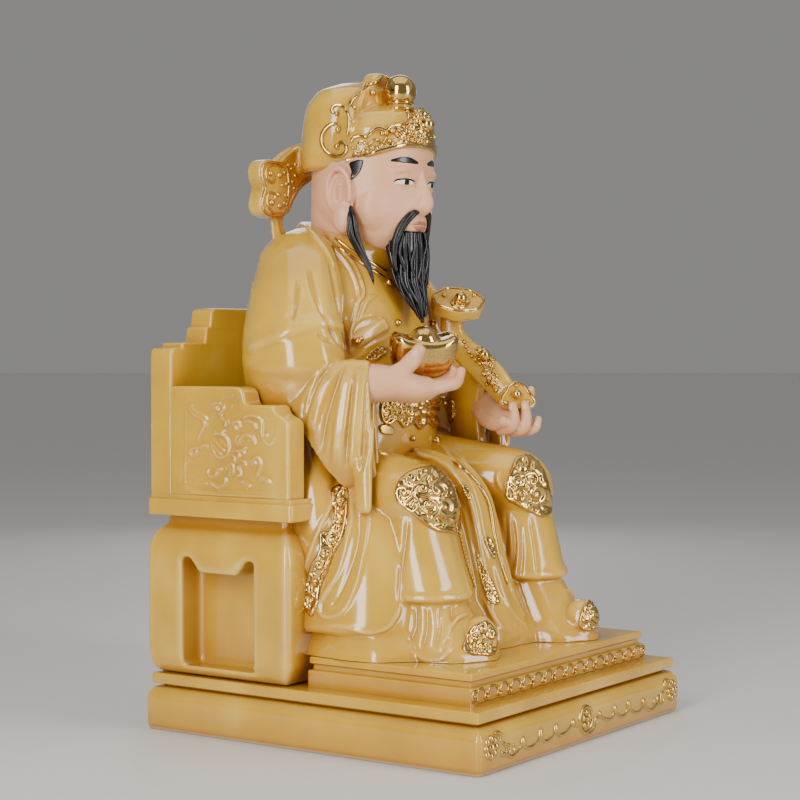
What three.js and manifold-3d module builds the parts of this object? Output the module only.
import * as THREE from 'three';
import { mergeVertices } from 'three/addons/utils/BufferGeometryUtils.js';
import { LoftGeometry } from 'three/addons/geometries/LoftGeometry.js';
import Module from 'manifold-3d';

// Seated wealth-god figure on a square throne and a stepped plinth, cast in yellow resin.
// Millimetres, +Z up. The figure faces -Y and its right hand is on the -X side.
// The origin is the centre of the plinth's underside.

// Plinth
const SLAB_WIDTH = 233;
const SLAB_DEPTH = 236.6;
const SLAB_HEIGHT = 26.2;
const SLAB_EDGE = 3;
const GROOVE_HEIGHT = 1.8;
const GROOVE_DEPTH = 6;
const LEDGE_HEIGHT = 6.4;
const LEDGE_INSET = 0.7;
const LEDGE_EDGE = 1;
const STEP_WIDTH = 202.7;
const STEP_MARGIN = 13.9;
const STEP_BAND = 9.5;
const STEP_COVE = 4;
const STEP_LIP = 4;
const STEP_EDGE = 1.7;

// Throne
const SEAT_INSET = 4;
const SEAT_DEPTH = 104;
const SEAT_HEIGHT = 89.6;
const SEAT_BULGE = 7;
const BACK_MARGIN = 1.2;
const NECK_HEIGHT = 6.2;
const NECK_INSET = 5;
const RAIL_MARGIN = 0.5;
const RAIL_OVERHANG = 1.2;
const RAIL_FRONT_REACH = 3;
const RAIL_HEIGHT = 10;
const RAIL_STEP = 3.2;
const RAIL_STEP_INSET = 3;
const ARM_THICKNESS = 16;
const ARM_INSET = 0.5;
const ARM_HEIGHT = 65;
const ARM_DROPS = [10.5, 8];
const ARM_FRONT_MARGIN = 2;
const BACK_THICKNESS = 17;
const BACK_SHOULDER = 91;
const BACK_LOBES = [10, 11.5];
const LOBE_MARGIN = 31;
const LOBE_STEP = 5;
const CARVED_EDGE = 1.6;
const NICHE_DEPTH = 17;
const NICHE_WIDTH = 53.6;
const NICHE_HEIGHT = 66;
const NICHE_SILL = 5.5;
const NICHE_DROP = 9;
const PANEL_RECESS = 1.2;
const PANEL_BORDER = 10;
const PETALS = 5;

// Figure, from its soles to the top of the hat
const FIGURE_HEIGHT = 352;

// Things in the hands
const INGOT_LENGTH = 44;
const INGOT_WIDTH = 30;
const INGOT_HEIGHT = 27;
const RUYI_DISC_WIDTH = 34;
const RUYI_DISC_THICKNESS = 8;
const RUYI_FOOT_WIDTH = 24;
const RUYI_FOOT_THICKNESS = 5;

// Gap between pieces that touch
const CLEARANCE = 0.3;

const ledgeTop = SLAB_HEIGHT + GROOVE_HEIGHT + LEDGE_HEIGHT;
const stepHeight = STEP_BAND + STEP_COVE + STEP_LIP;
const platformTop = ledgeTop + stepHeight;
const railWidth = SLAB_WIDTH - 2 * RAIL_MARGIN;
const seatWidth = railWidth - 2 * SEAT_INSET;
const throneBack = SLAB_DEPTH / 2 - BACK_MARGIN;
const throneFront = throneBack - SEAT_DEPTH;
const seatBase = ledgeTop + CLEARANCE;
const seatTop = seatBase + SEAT_HEIGHT;
const railBase = seatTop + NECK_HEIGHT;
const railTop = railBase + RAIL_HEIGHT;
const armBase = railTop + RAIL_STEP;

const wasm = await Module();
wasm.setup();

const X_AXIS = new THREE.Vector3(1, 0, 0);
const Y_AXIS = new THREE.Vector3(0, 1, 0);
const Z_AXIS = new THREE.Vector3(0, 0, 1);

/** Turns a closed three.js geometry into a solid that can be joined and cut. */
function solid(geometry) {
  const bare = new THREE.BufferGeometry();
  bare.setAttribute('position', geometry.attributes.position);
  bare.setIndex(geometry.index);
  const welded = mergeVertices(bare, 1e-4);
  const mesh = new wasm.Mesh({
    numProp: 3,
    vertProperties: new Float32Array(welded.attributes.position.array),
    triVerts: new Uint32Array(welded.index.array),
  });
  return new wasm.Manifold(mesh);
}

/** Joins a list of solids into one. */
function join(solids) {
  return solids.reduce((sum, next) => sum.add(next));
}

/** Gives a joined solid back as a named mesh with its finish. */
function piece(name, body, finish) {
  const mesh = body.getMesh();
  const flat = new THREE.BufferGeometry();
  flat.setAttribute('position', new THREE.BufferAttribute(mesh.vertProperties, 3));
  flat.setIndex(new THREE.BufferAttribute(mesh.triVerts, 1));
  flat.computeVertexNormals();
  const named = new THREE.Mesh(flat, new THREE.MeshStandardMaterial(finish));
  named.name = name;
  return named;
}

/** A ring of points round a rectangle with rounded corners, at height z. */
function rectangleRing(halfX, halfY, radius, centreY, z, perCorner = 2) {
  const ring = [];
  const corners = [[1, 1], [-1, 1], [-1, -1], [1, -1]];
  corners.forEach(([signX, signY], corner) => {
    for (let i = 0; i < perCorner; i++) {
      const angle = (corner + i / (perCorner - 1)) * Math.PI / 2;
      const x = signX * (halfX - radius) + radius * Math.cos(angle);
      const y = signY * (halfY - radius) + radius * Math.sin(angle);
      ring.push(new THREE.Vector3(x, centreY + y, z));
    }
  });
  return ring;
}

/** A moulded block: a stack of rounded rectangles, each given as [inset, height]. */
function mouldedBlock(width, depth, centreY, profile, radius) {
  const rings = profile.map(([inset, z]) => (
    rectangleRing(width / 2 - inset, depth / 2 - inset, Math.max(radius - inset, 0.4), centreY, z)
  ));
  return solid(new LoftGeometry(rings, { closed: true, capStart: true, capEnd: true }));
}

/** Extrudes an outline drawn in (across, up) and turns it to face along X or Y. */
function carvedPanel(outline, thickness, edge, facing, centre, curveSegments = 3) {
  const geometry = new THREE.ExtrudeGeometry(outline, {
    depth: thickness - 2 * edge,
    bevelEnabled: edge > 0,
    bevelThickness: edge,
    bevelSize: edge,
    bevelOffset: -edge,
    bevelSegments: 1,
    curveSegments,
  });
  geometry.translate(0, 0, edge - thickness / 2);
  if (facing === 'y') {
    geometry.applyMatrix4(new THREE.Matrix4().makeBasis(X_AXIS, Z_AXIS, Y_AXIS.clone().negate()));
  } else {
    geometry.applyMatrix4(new THREE.Matrix4().makeBasis(Y_AXIS, Z_AXIS, X_AXIS));
  }
  geometry.translate(...centre);
  return solid(geometry);
}

/**
 * A free form swept through stations. Each station is [x, y, z, half width, half depth].
 * The section is a superellipse of the given power, and folds(angle, share) adds to its radius.
 */
function freeForm(stations, options = {}) {
  const { around = 16, along = 6, power = 2, folds = () => 0, upright = false, side = X_AXIS } = options;
  const path = new THREE.CatmullRomCurve3(stations.map(([x, y, z]) => new THREE.Vector3(x, y, z)));
  const sizes = new THREE.CatmullRomCurve3(stations.map(([, , , a, b]) => new THREE.Vector3(a, b, 0)));
  const rings = [];
  for (let i = 0; i <= along; i++) {
    const share = i / along;
    const centre = path.getPoint(share);
    const size = sizes.getPoint(share);
    const tangent = upright ? Z_AXIS : path.getTangent(share);
    const across = side.clone().addScaledVector(tangent, -side.dot(tangent)).normalize();
    const depth = new THREE.Vector3().crossVectors(tangent, across);
    const ring = [];
    for (let j = 0; j < around; j++) {
      const angle = 2 * Math.PI * j / around;
      const c = Math.cos(angle);
      const s = Math.sin(angle);
      const reach = (Math.abs(c) ** power + Math.abs(s) ** power) ** (-1 / power);
      const fold = folds(angle, share);
      const point = centre.clone();
      point.addScaledVector(across, c * (Math.max(size.x, 0.3) * reach + fold));
      point.addScaledVector(depth, s * (Math.max(size.y, 0.3) * reach + fold));
      ring.push(point);
    }
    rings.push(ring);
  }
  return solid(new LoftGeometry(rings, { closed: true, capStart: true, capEnd: true }));
}

/** An ellipsoid at a point, turned about X, Y and Z by the given angles. */
function pebble(centre, radii, turn = [0, 0, 0], detail = [10, 6]) {
  const geometry = new THREE.SphereGeometry(1, ...detail);
  geometry.rotateX(Math.PI / 2);
  geometry.scale(...radii);
  geometry.rotateX(turn[0]);
  geometry.rotateY(turn[1]);
  geometry.rotateZ(turn[2]);
  geometry.translate(...centre);
  return solid(geometry);
}

/** A solid moved, turned, scaled or mirrored by a matrix. */
function moved(body, matrix) {
  const mesh = body.getMesh();
  const geometry = new THREE.BufferGeometry();
  geometry.setAttribute('position', new THREE.BufferAttribute(mesh.vertProperties.slice(), 3));
  const corners = Array.from(mesh.triVerts);
  geometry.setIndex(matrix.determinant() < 0 ? corners.reverse() : corners);
  geometry.applyMatrix4(matrix);
  return solid(geometry);
}

/** The same solid on the other side of the figure. */
function mirrored(body) {
  return moved(body, new THREE.Matrix4().makeScale(-1, 1, 1));
}

// The plinth: two slabs with a groove between them, and the foot platform in front of the throne.
function slabAndLedge() {
  const top = SLAB_HEIGHT;
  const profile = [
    [SLAB_EDGE * 0.6, 0], [0.4, SLAB_EDGE * 0.5], [0, top * 0.5], [0.6, top - SLAB_EDGE * 1.6],
    [SLAB_EDGE * 0.5, top - SLAB_EDGE * 0.4], [SLAB_EDGE, top], [GROOVE_DEPTH, top + 0.1],
    [GROOVE_DEPTH, top + GROOVE_HEIGHT - 0.1], [LEDGE_INSET + LEDGE_EDGE, top + GROOVE_HEIGHT],
    [LEDGE_INSET, top + GROOVE_HEIGHT + LEDGE_EDGE], [LEDGE_INSET, ledgeTop - LEDGE_EDGE],
    [LEDGE_INSET + LEDGE_EDGE, ledgeTop],
  ];
  return mouldedBlock(SLAB_WIDTH, SLAB_DEPTH, 0, profile, 2.5);
}

function platform() {
  const front = -SLAB_DEPTH / 2 + STEP_MARGIN;
  const back = throneFront - RAIL_FRONT_REACH - CLEARANCE;
  const bandTop = ledgeTop + STEP_BAND;
  const coveTop = bandTop + STEP_COVE;
  const lip = STEP_EDGE * 1.6;
  const profile = [
    [0, ledgeTop - 1], [0, bandTop - 1], [0.8, bandTop], [lip, bandTop + 0.4], [lip, coveTop - 0.4],
    [STEP_EDGE * 0.6, coveTop], [STEP_EDGE * 0.5, platformTop - 1], [STEP_EDGE, platformTop],
  ];
  return mouldedBlock(STEP_WIDTH, back - front, (front + back) / 2, profile, 1.5);
}

const plinthSolid = join([slabAndLedge(), platform()]);

// The throne: each function takes the gap that it is grown by, so that the figure can be cut to fit.
function seatBlock(gap) {
  const span = SEAT_HEIGHT;
  const profile = [
    [SEAT_BULGE, 0], [SEAT_BULGE * 0.5, span * 0.03], [1, span * 0.09], [0, span * 0.2],
    [0, span * 0.8], [1, span * 0.9], [SEAT_BULGE * 0.45, span * 0.97], [SEAT_BULGE, span],
    [NECK_INSET + SEAT_BULGE, span + 0.5], [NECK_INSET + SEAT_BULGE, span + NECK_HEIGHT - 0.5],
    [SEAT_BULGE, span + NECK_HEIGHT],
  ].map(([inset, z]) => [inset - gap, seatBase + z]);
  return mouldedBlock(seatWidth, SEAT_DEPTH, (throneFront + throneBack) / 2, profile, 8);
}

function rail(gap) {
  const profile = [
    [0.8, railBase], [0, railBase + 1], [0, railTop - 1], [0.8, railTop],
    [RAIL_STEP_INSET, railTop + 0.4], [RAIL_STEP_INSET, armBase],
  ].map(([inset, z], i) => [inset - gap, z + (i > 4 ? gap : 0)]);
  const back = throneBack + RAIL_OVERHANG;
  const front = throneFront - RAIL_FRONT_REACH;
  return mouldedBlock(railWidth, back - front, (back + front) / 2, profile, 2);
}

function niche() {
  const half = NICHE_WIDTH / 2;
  const sill = seatBase + NICHE_SILL;
  const top = sill + NICHE_HEIGHT;
  const outline = new THREE.Shape();
  outline.moveTo(-half + 4, sill);
  outline.lineTo(half - 4, sill);
  outline.quadraticCurveTo(half, sill, half, sill + 4);
  outline.lineTo(half, top);
  outline.lineTo(half * 0.78, top);
  outline.lineTo(half * 0.52, top - NICHE_DROP);
  outline.lineTo(-half * 0.52, top - NICHE_DROP);
  outline.lineTo(-half * 0.78, top);
  outline.lineTo(-half, top);
  outline.lineTo(-half, sill + 4);
  outline.quadraticCurveTo(-half, sill, -half + 4, sill);
  const depth = NICHE_DEPTH * 2;
  const centreX = seatWidth / 2;
  return carvedPanel(outline, depth, 0, 'x', [centreX, (throneFront + throneBack) / 2 + 6, 0]);
}

/** The stepped side outline of an arm, drawn in (y, z). */
function armOutline(gap) {
  const back = throneBack - BACK_THICKNESS + 2;
  const front = throneFront + ARM_FRONT_MARGIN - gap;
  const top = armBase + ARM_HEIGHT + gap;
  const [firstDrop, secondDrop] = ARM_DROPS;
  const run = back - front;
  const outline = new THREE.Shape();
  outline.moveTo(front, armBase - 1);
  outline.lineTo(back, armBase - 1);
  outline.lineTo(back, top);
  outline.lineTo(front + run * 0.46, top);
  outline.quadraticCurveTo(front + run * 0.37, top, front + run * 0.36, top - firstDrop * 0.8);
  outline.lineTo(front + run * 0.33, top - firstDrop);
  outline.lineTo(front + run * 0.15, top - firstDrop);
  const second = top - firstDrop;
  outline.quadraticCurveTo(front + run * 0.11, second, front + run * 0.1, second - secondDrop * 0.6);
  outline.lineTo(front, second - secondDrop * 1.2);
  outline.closePath();
  return outline;
}

/** The sunk field on the outside of an arm, drawn in (y, z) inside the border. */
function armField() {
  const back = throneBack - BACK_THICKNESS - PANEL_BORDER / 2;
  const front = throneFront + ARM_FRONT_MARGIN + PANEL_BORDER;
  const low = armBase + PANEL_BORDER / 2;
  const high = armBase + ARM_HEIGHT - PANEL_BORDER / 2;
  const notch = front + (back - front) * 0.34;
  const outline = new THREE.Shape();
  outline.moveTo(front, low);
  outline.lineTo(back, low);
  outline.lineTo(back, high);
  outline.lineTo(notch + 4, high);
  outline.lineTo(notch, high - ARM_DROPS[0]);
  outline.lineTo(front, high - ARM_DROPS[0] - 4);
  outline.closePath();
  return outline;
}

/** The flower of the arm relief: a ring of petals round a heart, with leaves reaching out. */
function armFlower(x) {
  const centreY = (throneFront + throneBack - BACK_THICKNESS) / 2;
  const centreZ = armBase + ARM_HEIGHT * 0.45;
  const shapes = [];
  for (let i = 0; i < PETALS; i++) {
    const angle = 2 * Math.PI * i / PETALS;
    const place = [x, centreY + 10 * Math.cos(angle), centreZ + 10 * Math.sin(angle)];
    shapes.push(pebble(place, [2.2, 8, 4.5], [angle, 0, 0], [6, 4]));
  }
  return join(shapes);
}

function armPanel(gap) {
  const thickness = ARM_THICKNESS + 2 * gap;
  const outer = seatWidth / 2 - ARM_INSET;
  const centreX = outer - ARM_THICKNESS / 2;
  const panel = carvedPanel(armOutline(gap), thickness, CARVED_EDGE, 'x', [centreX, 0, 0]);
  const field = carvedPanel(armField(), 2 * PANEL_RECESS, 0, 'x', [outer + gap, 0, 0]);
  return panel.subtract(field).add(armFlower(outer + gap - PANEL_RECESS - 0.6));
}

/** The lobed outline of the back, drawn in (x, z). */
function backOutline(gap) {
  const half = seatWidth / 2 - ARM_INSET + gap;
  const base = armBase - 1;
  const shoulder = armBase + BACK_SHOULDER + gap;
  const [lower, upper] = BACK_LOBES;
  const outline = new THREE.Shape();
  outline.moveTo(-half, base);
  outline.lineTo(half, base);
  outline.lineTo(half, shoulder - 3);
  outline.quadraticCurveTo(half, shoulder, half - 3, shoulder);
  const first = half - LOBE_MARGIN;
  const steps = [[first, shoulder, lower], [first - LOBE_STEP, shoulder + lower, upper]];
  steps.forEach(([x, z, rise]) => {
    outline.lineTo(x + 0.6, z);
    outline.quadraticCurveTo(x + 0.6, z + rise, x - LOBE_STEP, z + rise);
  });
  [...steps].reverse().forEach(([x, z, rise]) => {
    outline.lineTo(-x + LOBE_STEP, z + rise);
    outline.quadraticCurveTo(-x - 0.6, z + rise, -x - 0.6, z);
  });
  outline.lineTo(-half + 3, shoulder);
  outline.quadraticCurveTo(-half, shoulder, -half, shoulder - 3);
  outline.closePath();
  return outline;
}

function backPanel(gap) {
  const centreY = throneBack - BACK_THICKNESS / 2;
  return carvedPanel(backOutline(gap), BACK_THICKNESS + 2 * gap, CARVED_EDGE, 'y', [0, centreY, 0]);
}

/** The whole throne, grown by a gap. */
function throneForm(gap) {
  const arm = armPanel(gap);
  return join([seatBlock(gap), rail(gap), arm, mirrored(arm), backPanel(gap)]);
}

const nicheCut = niche();
const throneSolid = throneForm(0).subtract(nicheCut).subtract(mirrored(nicheCut));

// The figure. Heights below are above the platform that its feet stand on.

/** Rounded pleats that run along a form: count of them, depth, and where they fade out. */
function pleats(count, depth, phase = 0, fade = () => 1) {
  return (angle, share) => depth * fade(share, angle) * Math.cos(count * angle + phase);
}

/** The same pleats on one side only, facing the given angle. */
function sidePleats(count, depth, facing, reach, fade = () => 1) {
  return (angle, share) => {
    const away = Math.abs(Math.atan2(Math.sin(angle - facing), Math.cos(angle - facing)));
    const cover = Math.max(0, 1 - (away / reach) ** 2);
    return depth * cover * fade(share) * Math.cos(count * (angle - facing));
  };
}

function torso() {
  const stations = [
    [0, 48, 84, 78, 44], [0, 49, 112, 70, 45], [0, 48, 130, 57, 47], [0, 48, 151, 58, 48],
    [0, 50, 178, 61, 44], [0, 52, 206, 61, 41], [0, 55, 230, 52, 35], [0, 54, 250, 34, 28],
  ];
  return freeForm(stations, { around: 16, along: 7, upright: true, power: 2.1 });
}

/** The cape over the shoulder, cut off at its hem above the elbow. */
function cape() {
  const stations = [
    [-75, 40, 169, 26, 33.5], [-73, 43, 186, 25.5, 32], [-67, 45.5, 204, 25.5, 30.5],
    [-59, 49, 222, 23.5, 27], [-49, 54, 238, 18, 22], [-34, 57, 248, 8, 11],
  ];
  const folds = sidePleats(8, 1.8, -Math.PI * 5 / 8, 1.5, share => Math.sin(Math.PI * share));
  return freeForm(stations, { around: 16, along: 5, upright: true, folds });
}

function elbow() {
  const stations = [[-76, 40, 136, 17, 24], [-76, 42, 154, 22, 29], [-76, 42, 174, 24, 32]];
  return freeForm(stations, { around: 12, along: 2, upright: true });
}

function sleeve(lift) {
  const stations = [
    [-74, 68, 136 + lift, 8, 18], [-78, 54, 134 + lift, 14, 30], [-79, 34, 133 + lift, 16, 36],
    [-76, 14, 133 + lift, 16, 38], [-71, -1, 134 + lift, 14, 38], [-66, -9, 135 + lift, 10, 37],
  ];
  const folds = sidePleats(10, 2.6, Math.PI, 1.9, share => Math.min(1, share * 1.4));
  return freeForm(stations, { around: 20, along: 5, folds });
}

function outerRobe() {
  const stations = [
    [0, 4, 0, 102, 62], [0, 5, 16, 99, 57], [0, 8, 50, 93, 48], [0, 12, 86, 84, 42], [0, 22, 112, 74, 40],
    [0, 34, 128, 62, 36],
  ];
  const folds = (angle, share) => 3 * (1 - share) * Math.cos(14 * angle) * Math.max(0, -Math.sin(angle));
  return freeForm(stations, { around: 28, along: 4, upright: true, power: 2.6, folds });
}

function thigh(side, kneeY, kneeZ) {
  const stations = [
    [side * 26, 62, 98, 30, 26], [side * 36, 34, 99, 35, 27], [side * 44, 6, 96, 33, 26],
    [side * 47, kneeY + 12, kneeZ + 2, 28, 24], [side * 48, kneeY - 3, kneeZ, 24, 22],
    [side * 48, kneeY - 15, kneeZ - 2, 16, 15], [side * 48, kneeY - 20, kneeZ - 3, 5, 5],
  ];
  return freeForm(stations, { around: 12, along: 6 });
}

function tunicLeg(side, kneeY, kneeZ, hemY, hemZ) {
  const stations = [
    [side * 48, hemY, hemZ, 34, 27], [side * 48, hemY + 1, hemZ + 5, 32, 25],
    [side * 48, (hemY + kneeY) / 2 + 1, hemZ + 32, 27, 22], [side * 48, kneeY + 1, kneeZ - 6, 23, 20],
    [side * 48, kneeY + 2, kneeZ + 8, 18, 17],
  ];
  const folds = sidePleats(8, 1.8, -Math.PI / 2, 1.7, share => 1 - share);
  return freeForm(stations, { around: 16, along: 4, upright: true, folds });
}

/** The pleated underskirt that spreads over the platform, turned a little to the forward left foot. */
function underskirt() {
  const turned = new THREE.Vector3(1, -0.11, 0).normalize();
  const stations = [[0, -22, 0, 88, 47], [0, -20, 14, 83, 41], [0, -18, 38, 76, 36]];
  const folds = sidePleats(18, 2.4, -Math.PI / 2, 1.7, share => 1 - 0.6 * share);
  return freeForm(stations, { around: 36, along: 2, upright: true, power: 2.8, folds, side: turned });
}

function shoe(side, toeY) {
  return join([
    pebble([side * 50, toeY + 22, 8], [14, 22, 12], [0, 0, 0], [10, 5]),
    pebble([side * 50, toeY + 9, 12], [9.5, 10, 12], [0.25, 0, 0], [8, 4]),
  ]);
}

function sash() {
  const fall = [
    [0, 4, 128, 9, 6], [0, -14, 118, 10, 5], [0, -34, 104, 9, 5], [2, -46, 84, 10, 6], [3, -50, 60, 13, 6],
    [4, -56, 34, 16, 6], [6, -64, 14, 17, 5], [8, -70, 4, 14, 4],
  ];
  const folds = pleats(5, 1.2);
  const tail = freeForm(fall, { around: 10, along: 7, folds });
  const lapStations = [[0, 30, 94, 38, 24], [0, -8, 86, 36, 22], [0, -24, 70, 30, 26]];
  const lap = freeForm(lapStations, { around: 10, along: 2 });
  const apron = freeForm([[0, -18, 20, 30, 36], [0, -18, 60, 30, 27], [0, -14, 80, 28, 22]],
    { around: 12, along: 2, upright: true });
  const knot = pebble([0, -4, 124], [8, 6, 6], [0, 0, 0], [8, 5]);
  return join([tail, lap, apron, knot]);
}

function medallion(side, kneeY, kneeZ) {
  return pebble([side * 47, kneeY - 4, kneeZ - 2], [23, 18, 21], [0, 0, 0], [14, 6]);
}

function neckAndHead() {
  const neck = freeForm([[0, 48, 226, 29, 27], [0, 44, 258, 29, 29], [0, 43, 280, 33, 33]],
    { around: 12, along: 2, upright: true });
  const skull = [
    [0, 27, 238.5, 14, 14], [0, 29, 244, 24, 25], [0, 33, 257, 31.5, 34], [0, 36, 270, 35.5, 38],
    [0, 38, 284, 37, 41], [0, 38.5, 298, 36.5, 41],
  ];
  const head = freeForm(skull, { around: 20, along: 7, upright: true, power: 2.15 });
  const nose = freeForm([[0, 0, 290, 3, 4], [0, -4, 281, 4, 5], [0, -6, 273, 6.5, 5.5], [0, -2, 268, 5, 4]],
    { around: 8, along: 3 });
  const lips = pebble([0, -1.5, 258], [8, 4, 3], [0, 0, 0], [8, 4]);
  const eyelid = side => pebble([side * 13.5, 1.5, 283], [6.5, 3.6, 3], [0, 0, side * 0.3], [8, 4]);
  const ear = join([
    pebble([-39.5, 37, 275], [4, 8.6, 15.5], [0, 0.08, 0.35], [8, 6]),
    pebble([-37.5, 33.5, 262], [4.6, 7, 8.5], [0, 0, 0.2], [7, 4]),
  ]);
  return join([neck, head, nose, lips, eyelid(-1), eyelid(1), ear, mirrored(ear)]);
}

function beard() {
  const locks = pleats(7, 0.9, 0, share => 1 - 0.5 * share);
  const fall = freeForm(
    [[0, 12, 252, 15, 10], [0, 8, 243, 17, 11], [0, 7, 232, 15, 10], [0, 7, 218, 11, 8], [0, 4, 206, 7, 5],
      [0, 0, 194, 1.6, 1.6]],
    { around: 14, along: 5, folds: locks },
  );
  const whisker = side => freeForm(
    [[side * 1.5, -3, 266, 2, 2], [side * 9, -1.5, 260, 2.6, 2.6], [side * 13, 1, 248, 2.8, 2.8],
      [side * 13, 1, 236, 2.4, 2.4], [side * 10, 1, 222, 1.4, 1.4]],
    { around: 5, along: 4 },
  );
  const sideLock = side => freeForm(
    [[side * 35, 30, 268, 1, 1.4], [side * 34.5, 28, 254, 2.4, 4.4], [side * 32, 24, 240, 2.4, 3.8],
      [side * 28, 19, 228, 2, 2.4], [side * 25, 16, 219, 0.8, 0.8]],
    { around: 5, along: 4 },
  );
  return join([fall, whisker(-1), whisker(1), sideLock(-1), sideLock(1)]);
}

/** A hat wing plaque: a cloud-headed outline drawn in (x, z). */
function wingOutline() {
  const outline = new THREE.Shape();
  outline.moveTo(-2, -19);
  outline.quadraticCurveTo(6, -17, 10, -8);
  outline.quadraticCurveTo(15, 2, 14, 12);
  outline.quadraticCurveTo(12, 19, 5, 18);
  outline.quadraticCurveTo(0, 20, -5, 18);
  outline.quadraticCurveTo(-17, 20, -17, 9);
  outline.quadraticCurveTo(-17, 3, -14, 0);
  outline.quadraticCurveTo(-19, -6, -15, -14);
  outline.quadraticCurveTo(-10, -21, -2, -19);
  return outline;
}

function hatWing() {
  const plaque = carvedPanel(wingOutline(), 13, 1, 'y', [-42, 82, 278], 2);
  const arm = freeForm(
    [[-14, 70, 298, 9, 7], [-24, 78, 302, 9, 6], [-34, 82, 294, 9, 6], [-42, 82, 284, 7, 5]],
    { around: 8, along: 3, side: Y_AXIS },
  );
  const ribbon = freeForm(
    [[-42, 82, 264, 6, 4], [-44, 83, 252, 5, 3], [-45, 80, 242, 6, 3.4], [-46, 74, 232, 7, 5]],
    { around: 6, along: 4 },
  );
  return join([plaque, arm, ribbon]);
}

/** The crest between the two domes of the hat, drawn in (x, z). */
function crestOutline() {
  const outline = new THREE.Shape();
  outline.moveTo(-35, 300);
  outline.lineTo(35, 300);
  outline.lineTo(35, 318);
  outline.quadraticCurveTo(35, 327, 27, 328);
  outline.quadraticCurveTo(26, 340, 15, 341);
  outline.quadraticCurveTo(12, 352, 0, 352);
  outline.quadraticCurveTo(-12, 352, -15, 341);
  outline.quadraticCurveTo(-26, 340, -27, 328);
  outline.quadraticCurveTo(-35, 327, -35, 318);
  outline.closePath();
  return outline;
}

function hat() {
  const band = freeForm(
    [[0, 37.2, 292.5, 37.4, 42], [0, 37.5, 295, 39.4, 44.6], [0, 38.6, 303, 39, 44], [0, 39, 305, 37.4, 41.6],
      [0, 41, 313, 36.8, 41]],
    { around: 20, along: 4 },
  );
  const crown = freeForm(
    [[0, 50.5, 300, 38, 30.3], [0, 50.5, 318, 38, 30], [0, 50, 333, 35, 27.5], [0, 48, 342, 28, 23],
      [0, 47, 347.5, 14, 12]],
    { around: 16, along: 4, upright: true },
  );
  const dome = freeForm(
    [[0, 25, 304, 36, 31], [0, 25, 314, 34.5, 29.5], [0, 25, 324, 27, 24], [0, 25, 329.5, 14, 12]],
    { around: 14, along: 3, upright: true },
  );
  const crest = carvedPanel(crestOutline(), 12, 1.5, 'y', [0, 34, 0], 2);
  const peak = pebble([0, -6, 316], [9, 3.5, 11], [-0.12, 0, 0], [8, 5]);
  const stud = pebble([0, 14.3, 340.6], [7.6, 7.6, 7.6], [0, 0, 0], [10, 6]);
  const collar = freeForm([[0, 15, 324, 9, 9], [0, 14.6, 332, 7.5, 7.5], [0, 14.4, 335, 6, 6]],
    { around: 8, along: 2, upright: true });
  const wing = hatWing();
  return join([band, crown, dome, crest, peak, stud, collar, wing, mirrored(wing)]);
}

/** The standing collar, high at the nape and crossed low in front. */
function robeCollar() {
  return freeForm([[0, 62, 226, 46, 40], [0, 56, 240, 38, 37], [0, 52, 250, 32, 36], [0, 51.6, 251, 29, 33]],
    { around: 12, along: 3 });
}

/** A finger or thumb that bends through its points, thinner at the tip. */
function finger(points, thickness) {
  const last = points.length - 1;
  const stations = points.map(([x, y, z], i) => {
    const r = thickness * (i === last ? 0.5 : 1 - 0.1 * i);
    return [x, y, z, r, r];
  });
  return freeForm(stations, { around: 5, along: 3, side: Z_AXIS });
}

function rightHand() {
  const palm = freeForm(
    [[-74, 8, 159, 12, 12], [-64, -5, 159, 12, 12], [-52, -15, 158, 13, 10.5], [-40, -22, 155, 14, 9],
      [-30, -27, 155, 12, 7]],
    { around: 8, along: 4, side: new THREE.Vector3(0.45, 0.9, 0) },
  );
  const fingers = [0, 1, 2, 3].map(i => finger([
    [-36 + 2.2 * i, -33 + 7 * i, 155], [-26 + 2.2 * i, -39 + 7 * i, 157], [-16 + 2 * i, -42 + 6.5 * i, 159.5],
    [-9 + 1.5 * i, -42 + 6 * i, 166],
  ], 4.4));
  const thumb = finger([[-58, -17, 161], [-49, -24, 169], [-41, -26, 176]], 5.4);
  return join([palm, thumb, ...fingers]);
}

function leftHand() {
  const palm = freeForm(
    [[76, 8, 141, 12, 12], [70, -4, 140, 12, 11], [63, -16, 137, 13, 10.5], [60, -27, 134, 14, 10],
      [58, -36, 132, 13, 8]],
    { around: 8, along: 4 },
  );
  const fingers = [0, 1, 2, 3].map(i => finger([
    [48 + 6 * i, -30 - 1.2 * i, 130], [48 + 5.8 * i, -38 - 1.6 * i, 129], [48 + 5.8 * i, -41 - 1.6 * i, 135],
    [49 + 5.8 * i, -40 - 1.2 * i, 143],
  ], 4.2));
  const thumb = finger([[52, -14, 138], [45, -25, 134], [43, -32, 134]], 5);
  return join([palm, thumb, ...fingers]);
}

/** One leg: thigh, tunic, shoe and the medallion on the knee. */
function leg(side, kneeY, kneeZ, hemY, hemZ, toeY) {
  return join([
    thigh(side, kneeY, kneeZ), tunicLeg(side, kneeY, kneeZ, hemY, hemZ),
    shoe(side, toeY), medallion(side, kneeY, kneeZ),
  ]);
}

const rightArm = join([cape(), elbow(), sleeve(0)]);
const leftArm = mirrored(join([cape(), elbow(), sleeve(-6)]));
const body = join([
  torso(), rightArm, leftArm, outerRobe(), robeCollar(), rightHand(), leftHand(), underskirt(), sash(),
  leg(-1, -33, 88, -33, 27, -86), leg(1, -43, 92, -44, 24, -96.5),
]);
const head = join([neckAndHead(), beard(), hat()]);

// The ground under the figure, which cuts the soles flat
const ground = mouldedBlock(SLAB_WIDTH * 2, SLAB_DEPTH * 2, 0, [[0, -SLAB_HEIGHT], [0, 0]], 1);
const drawnFigure = body.add(head).subtract(ground);
const figureScale = FIGURE_HEIGHT / drawnFigure.boundingBox().max[2];
const figureBase = platformTop + CLEARANCE;

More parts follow.
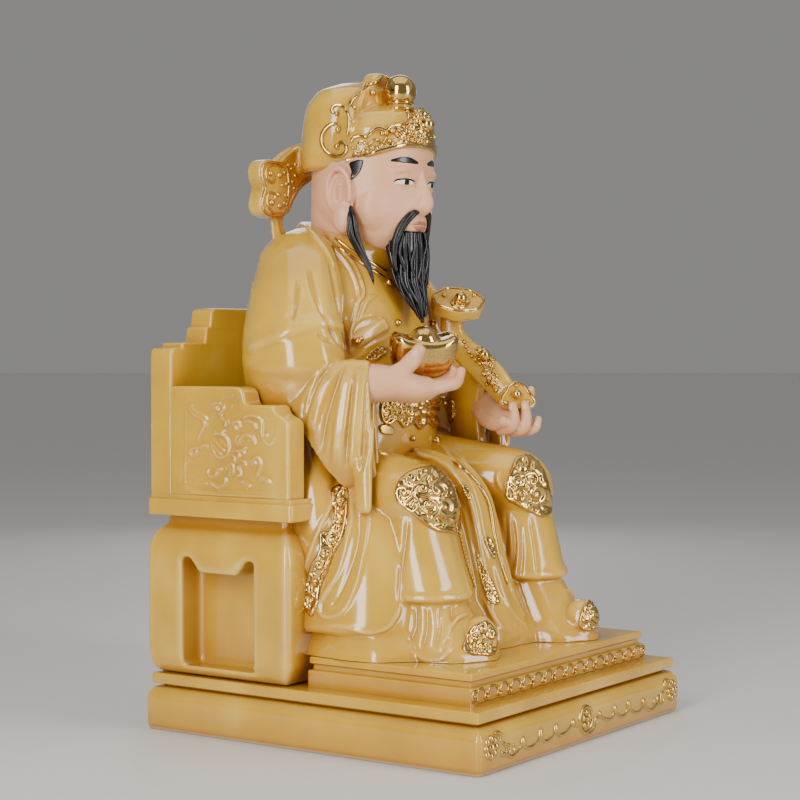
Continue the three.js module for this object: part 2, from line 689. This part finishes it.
/** Places a form drawn above the platform at its real size and height. */
function placed(form) {
  const matrix = new THREE.Matrix4().makeTranslation(0, 0, figureBase);
  return moved(form, matrix.scale(new THREE.Vector3(figureScale, figureScale, figureScale)));
}

/** A matrix that turns a real-size form about X and Z and moves it to a point of the drawn figure. */
function pose(turnX, turnZ, [x, y, z]) {
  const place = [x * figureScale, y * figureScale, figureBase + z * figureScale];
  const matrix = new THREE.Matrix4().makeTranslation(...place);
  matrix.multiply(new THREE.Matrix4().makeRotationZ(turnZ));
  return matrix.multiply(new THREE.Matrix4().makeRotationX(turnX));
}

/** The boat-shaped ingot in the right hand, with its round top. */
function ingot(gap) {
  const half = INGOT_LENGTH / 2 + gap;
  const wide = INGOT_WIDTH / 2 + gap;
  const rings = [];
  const count = 8;
  for (let i = 0; i <= count; i++) {
    const share = -1 + 2 * i / count;
    const ends = share ** 2;
    const reach = Math.sqrt(Math.max(0.04, 1 - ends ** 2));
    const low = -gap + INGOT_HEIGHT * 0.55 * ends ** 1.5;
    const high = INGOT_HEIGHT * (0.62 + 0.38 * ends) + gap;
    const ring = [];
    for (let j = 0; j < 12; j++) {
      const angle = 2 * Math.PI * j / 12;
      const flat = Math.abs(Math.cos(angle)) ** 0.8 * Math.sign(Math.cos(angle));
      const up = Math.sin(angle);
      const z = (low + high) / 2 + up * (high - low) / 2;
      ring.push(new THREE.Vector3(half * share, flat * wide * reach * (0.62 + 0.38 * (up + 1) / 2), z));
    }
    rings.push(ring);
  }
  const boat = solid(new LoftGeometry(rings, { closed: true, capStart: true, capEnd: true }));
  const domeRadii = [INGOT_LENGTH * 0.32 + gap, INGOT_WIDTH * 0.37 + gap, INGOT_HEIGHT * 0.44 + gap];
  const dome = pebble([0, 0, INGOT_HEIGHT * 0.8], domeRadii, [0, 0, 0], [12, 6]);
  return moved(boat.add(dome), pose(0, -0.6, [-24, -20, 159]));
}

/** A cloud-shaped plate of the sceptre: five soft lobes round an oval. */
function ruyiCloud(width, thickness, gap) {
  const outline = new THREE.Shape();
  const lobes = 5;
  const steps = 15;
  for (let i = 0; i < steps; i++) {
    const angle = 2 * Math.PI * i / steps;
    const r = (width / 2 + gap) * (0.93 + 0.07 * Math.cos(lobes * angle));
    const x = r * Math.cos(angle);
    const y = r * 0.82 * Math.sin(angle);
    if (i === 0) outline.moveTo(x, y);
    else outline.lineTo(x, y);
  }
  return carvedPanel(outline, thickness + 2 * gap, thickness * 0.15, 'y', [0, 0, 0]);
}

/** The ruyi sceptre: an S-shaped shaft with a cloud plate at each end. */
function ruyi(gap) {
  const grow = gap / figureScale;
  const route = [
    [45, 2, 206, 6, 7], [46, 0, 196, 6, 6.5], [48, -6, 182, 7, 7], [51, -16, 168, 7, 8],
    [55, -26, 153, 7, 6], [57, -33, 142, 7, 6],
  ];
  const stations = route.map(([x, y, z, a, b]) => [x, y, z, a + grow, b + grow]);
  const shaft = placed(freeForm(stations, { around: 10, along: 6 }));
  const disc = ruyiCloud(RUYI_DISC_WIDTH, RUYI_DISC_THICKNESS, gap);
  const foot = ruyiCloud(RUYI_FOOT_WIDTH, RUYI_FOOT_THICKNESS, gap);
  return join([shaft, moved(disc, pose(-1.2, 0, [45, 0, 210])), moved(foot, pose(-0.35, 0, [56, -35, 151]))]);
}

const cuts = [ingot(CLEARANCE), ruyi(CLEARANCE), throneForm(CLEARANCE)];
const figureSolid = cuts.reduce((rest, cut) => rest.subtract(cut), placed(drawnFigure));
const ingotSolid = ingot(0);
const ruyiSolid = ruyi(0);

const resin = { color: '#c9a24f', roughness: 0.25, metalness: 0 };
const gilt = { color: '#d9b23a', roughness: 0.2, metalness: 0.9 };

const group = new THREE.Group();
group.add(piece('plinth', plinthSolid, resin));
group.add(piece('throne', throneSolid, resin));
group.add(piece('figure', figureSolid, resin));
group.add(piece('ingot', ingotSolid, gilt));
group.add(piece('ruyi_sceptre', ruyiSolid, resin));

export default group;
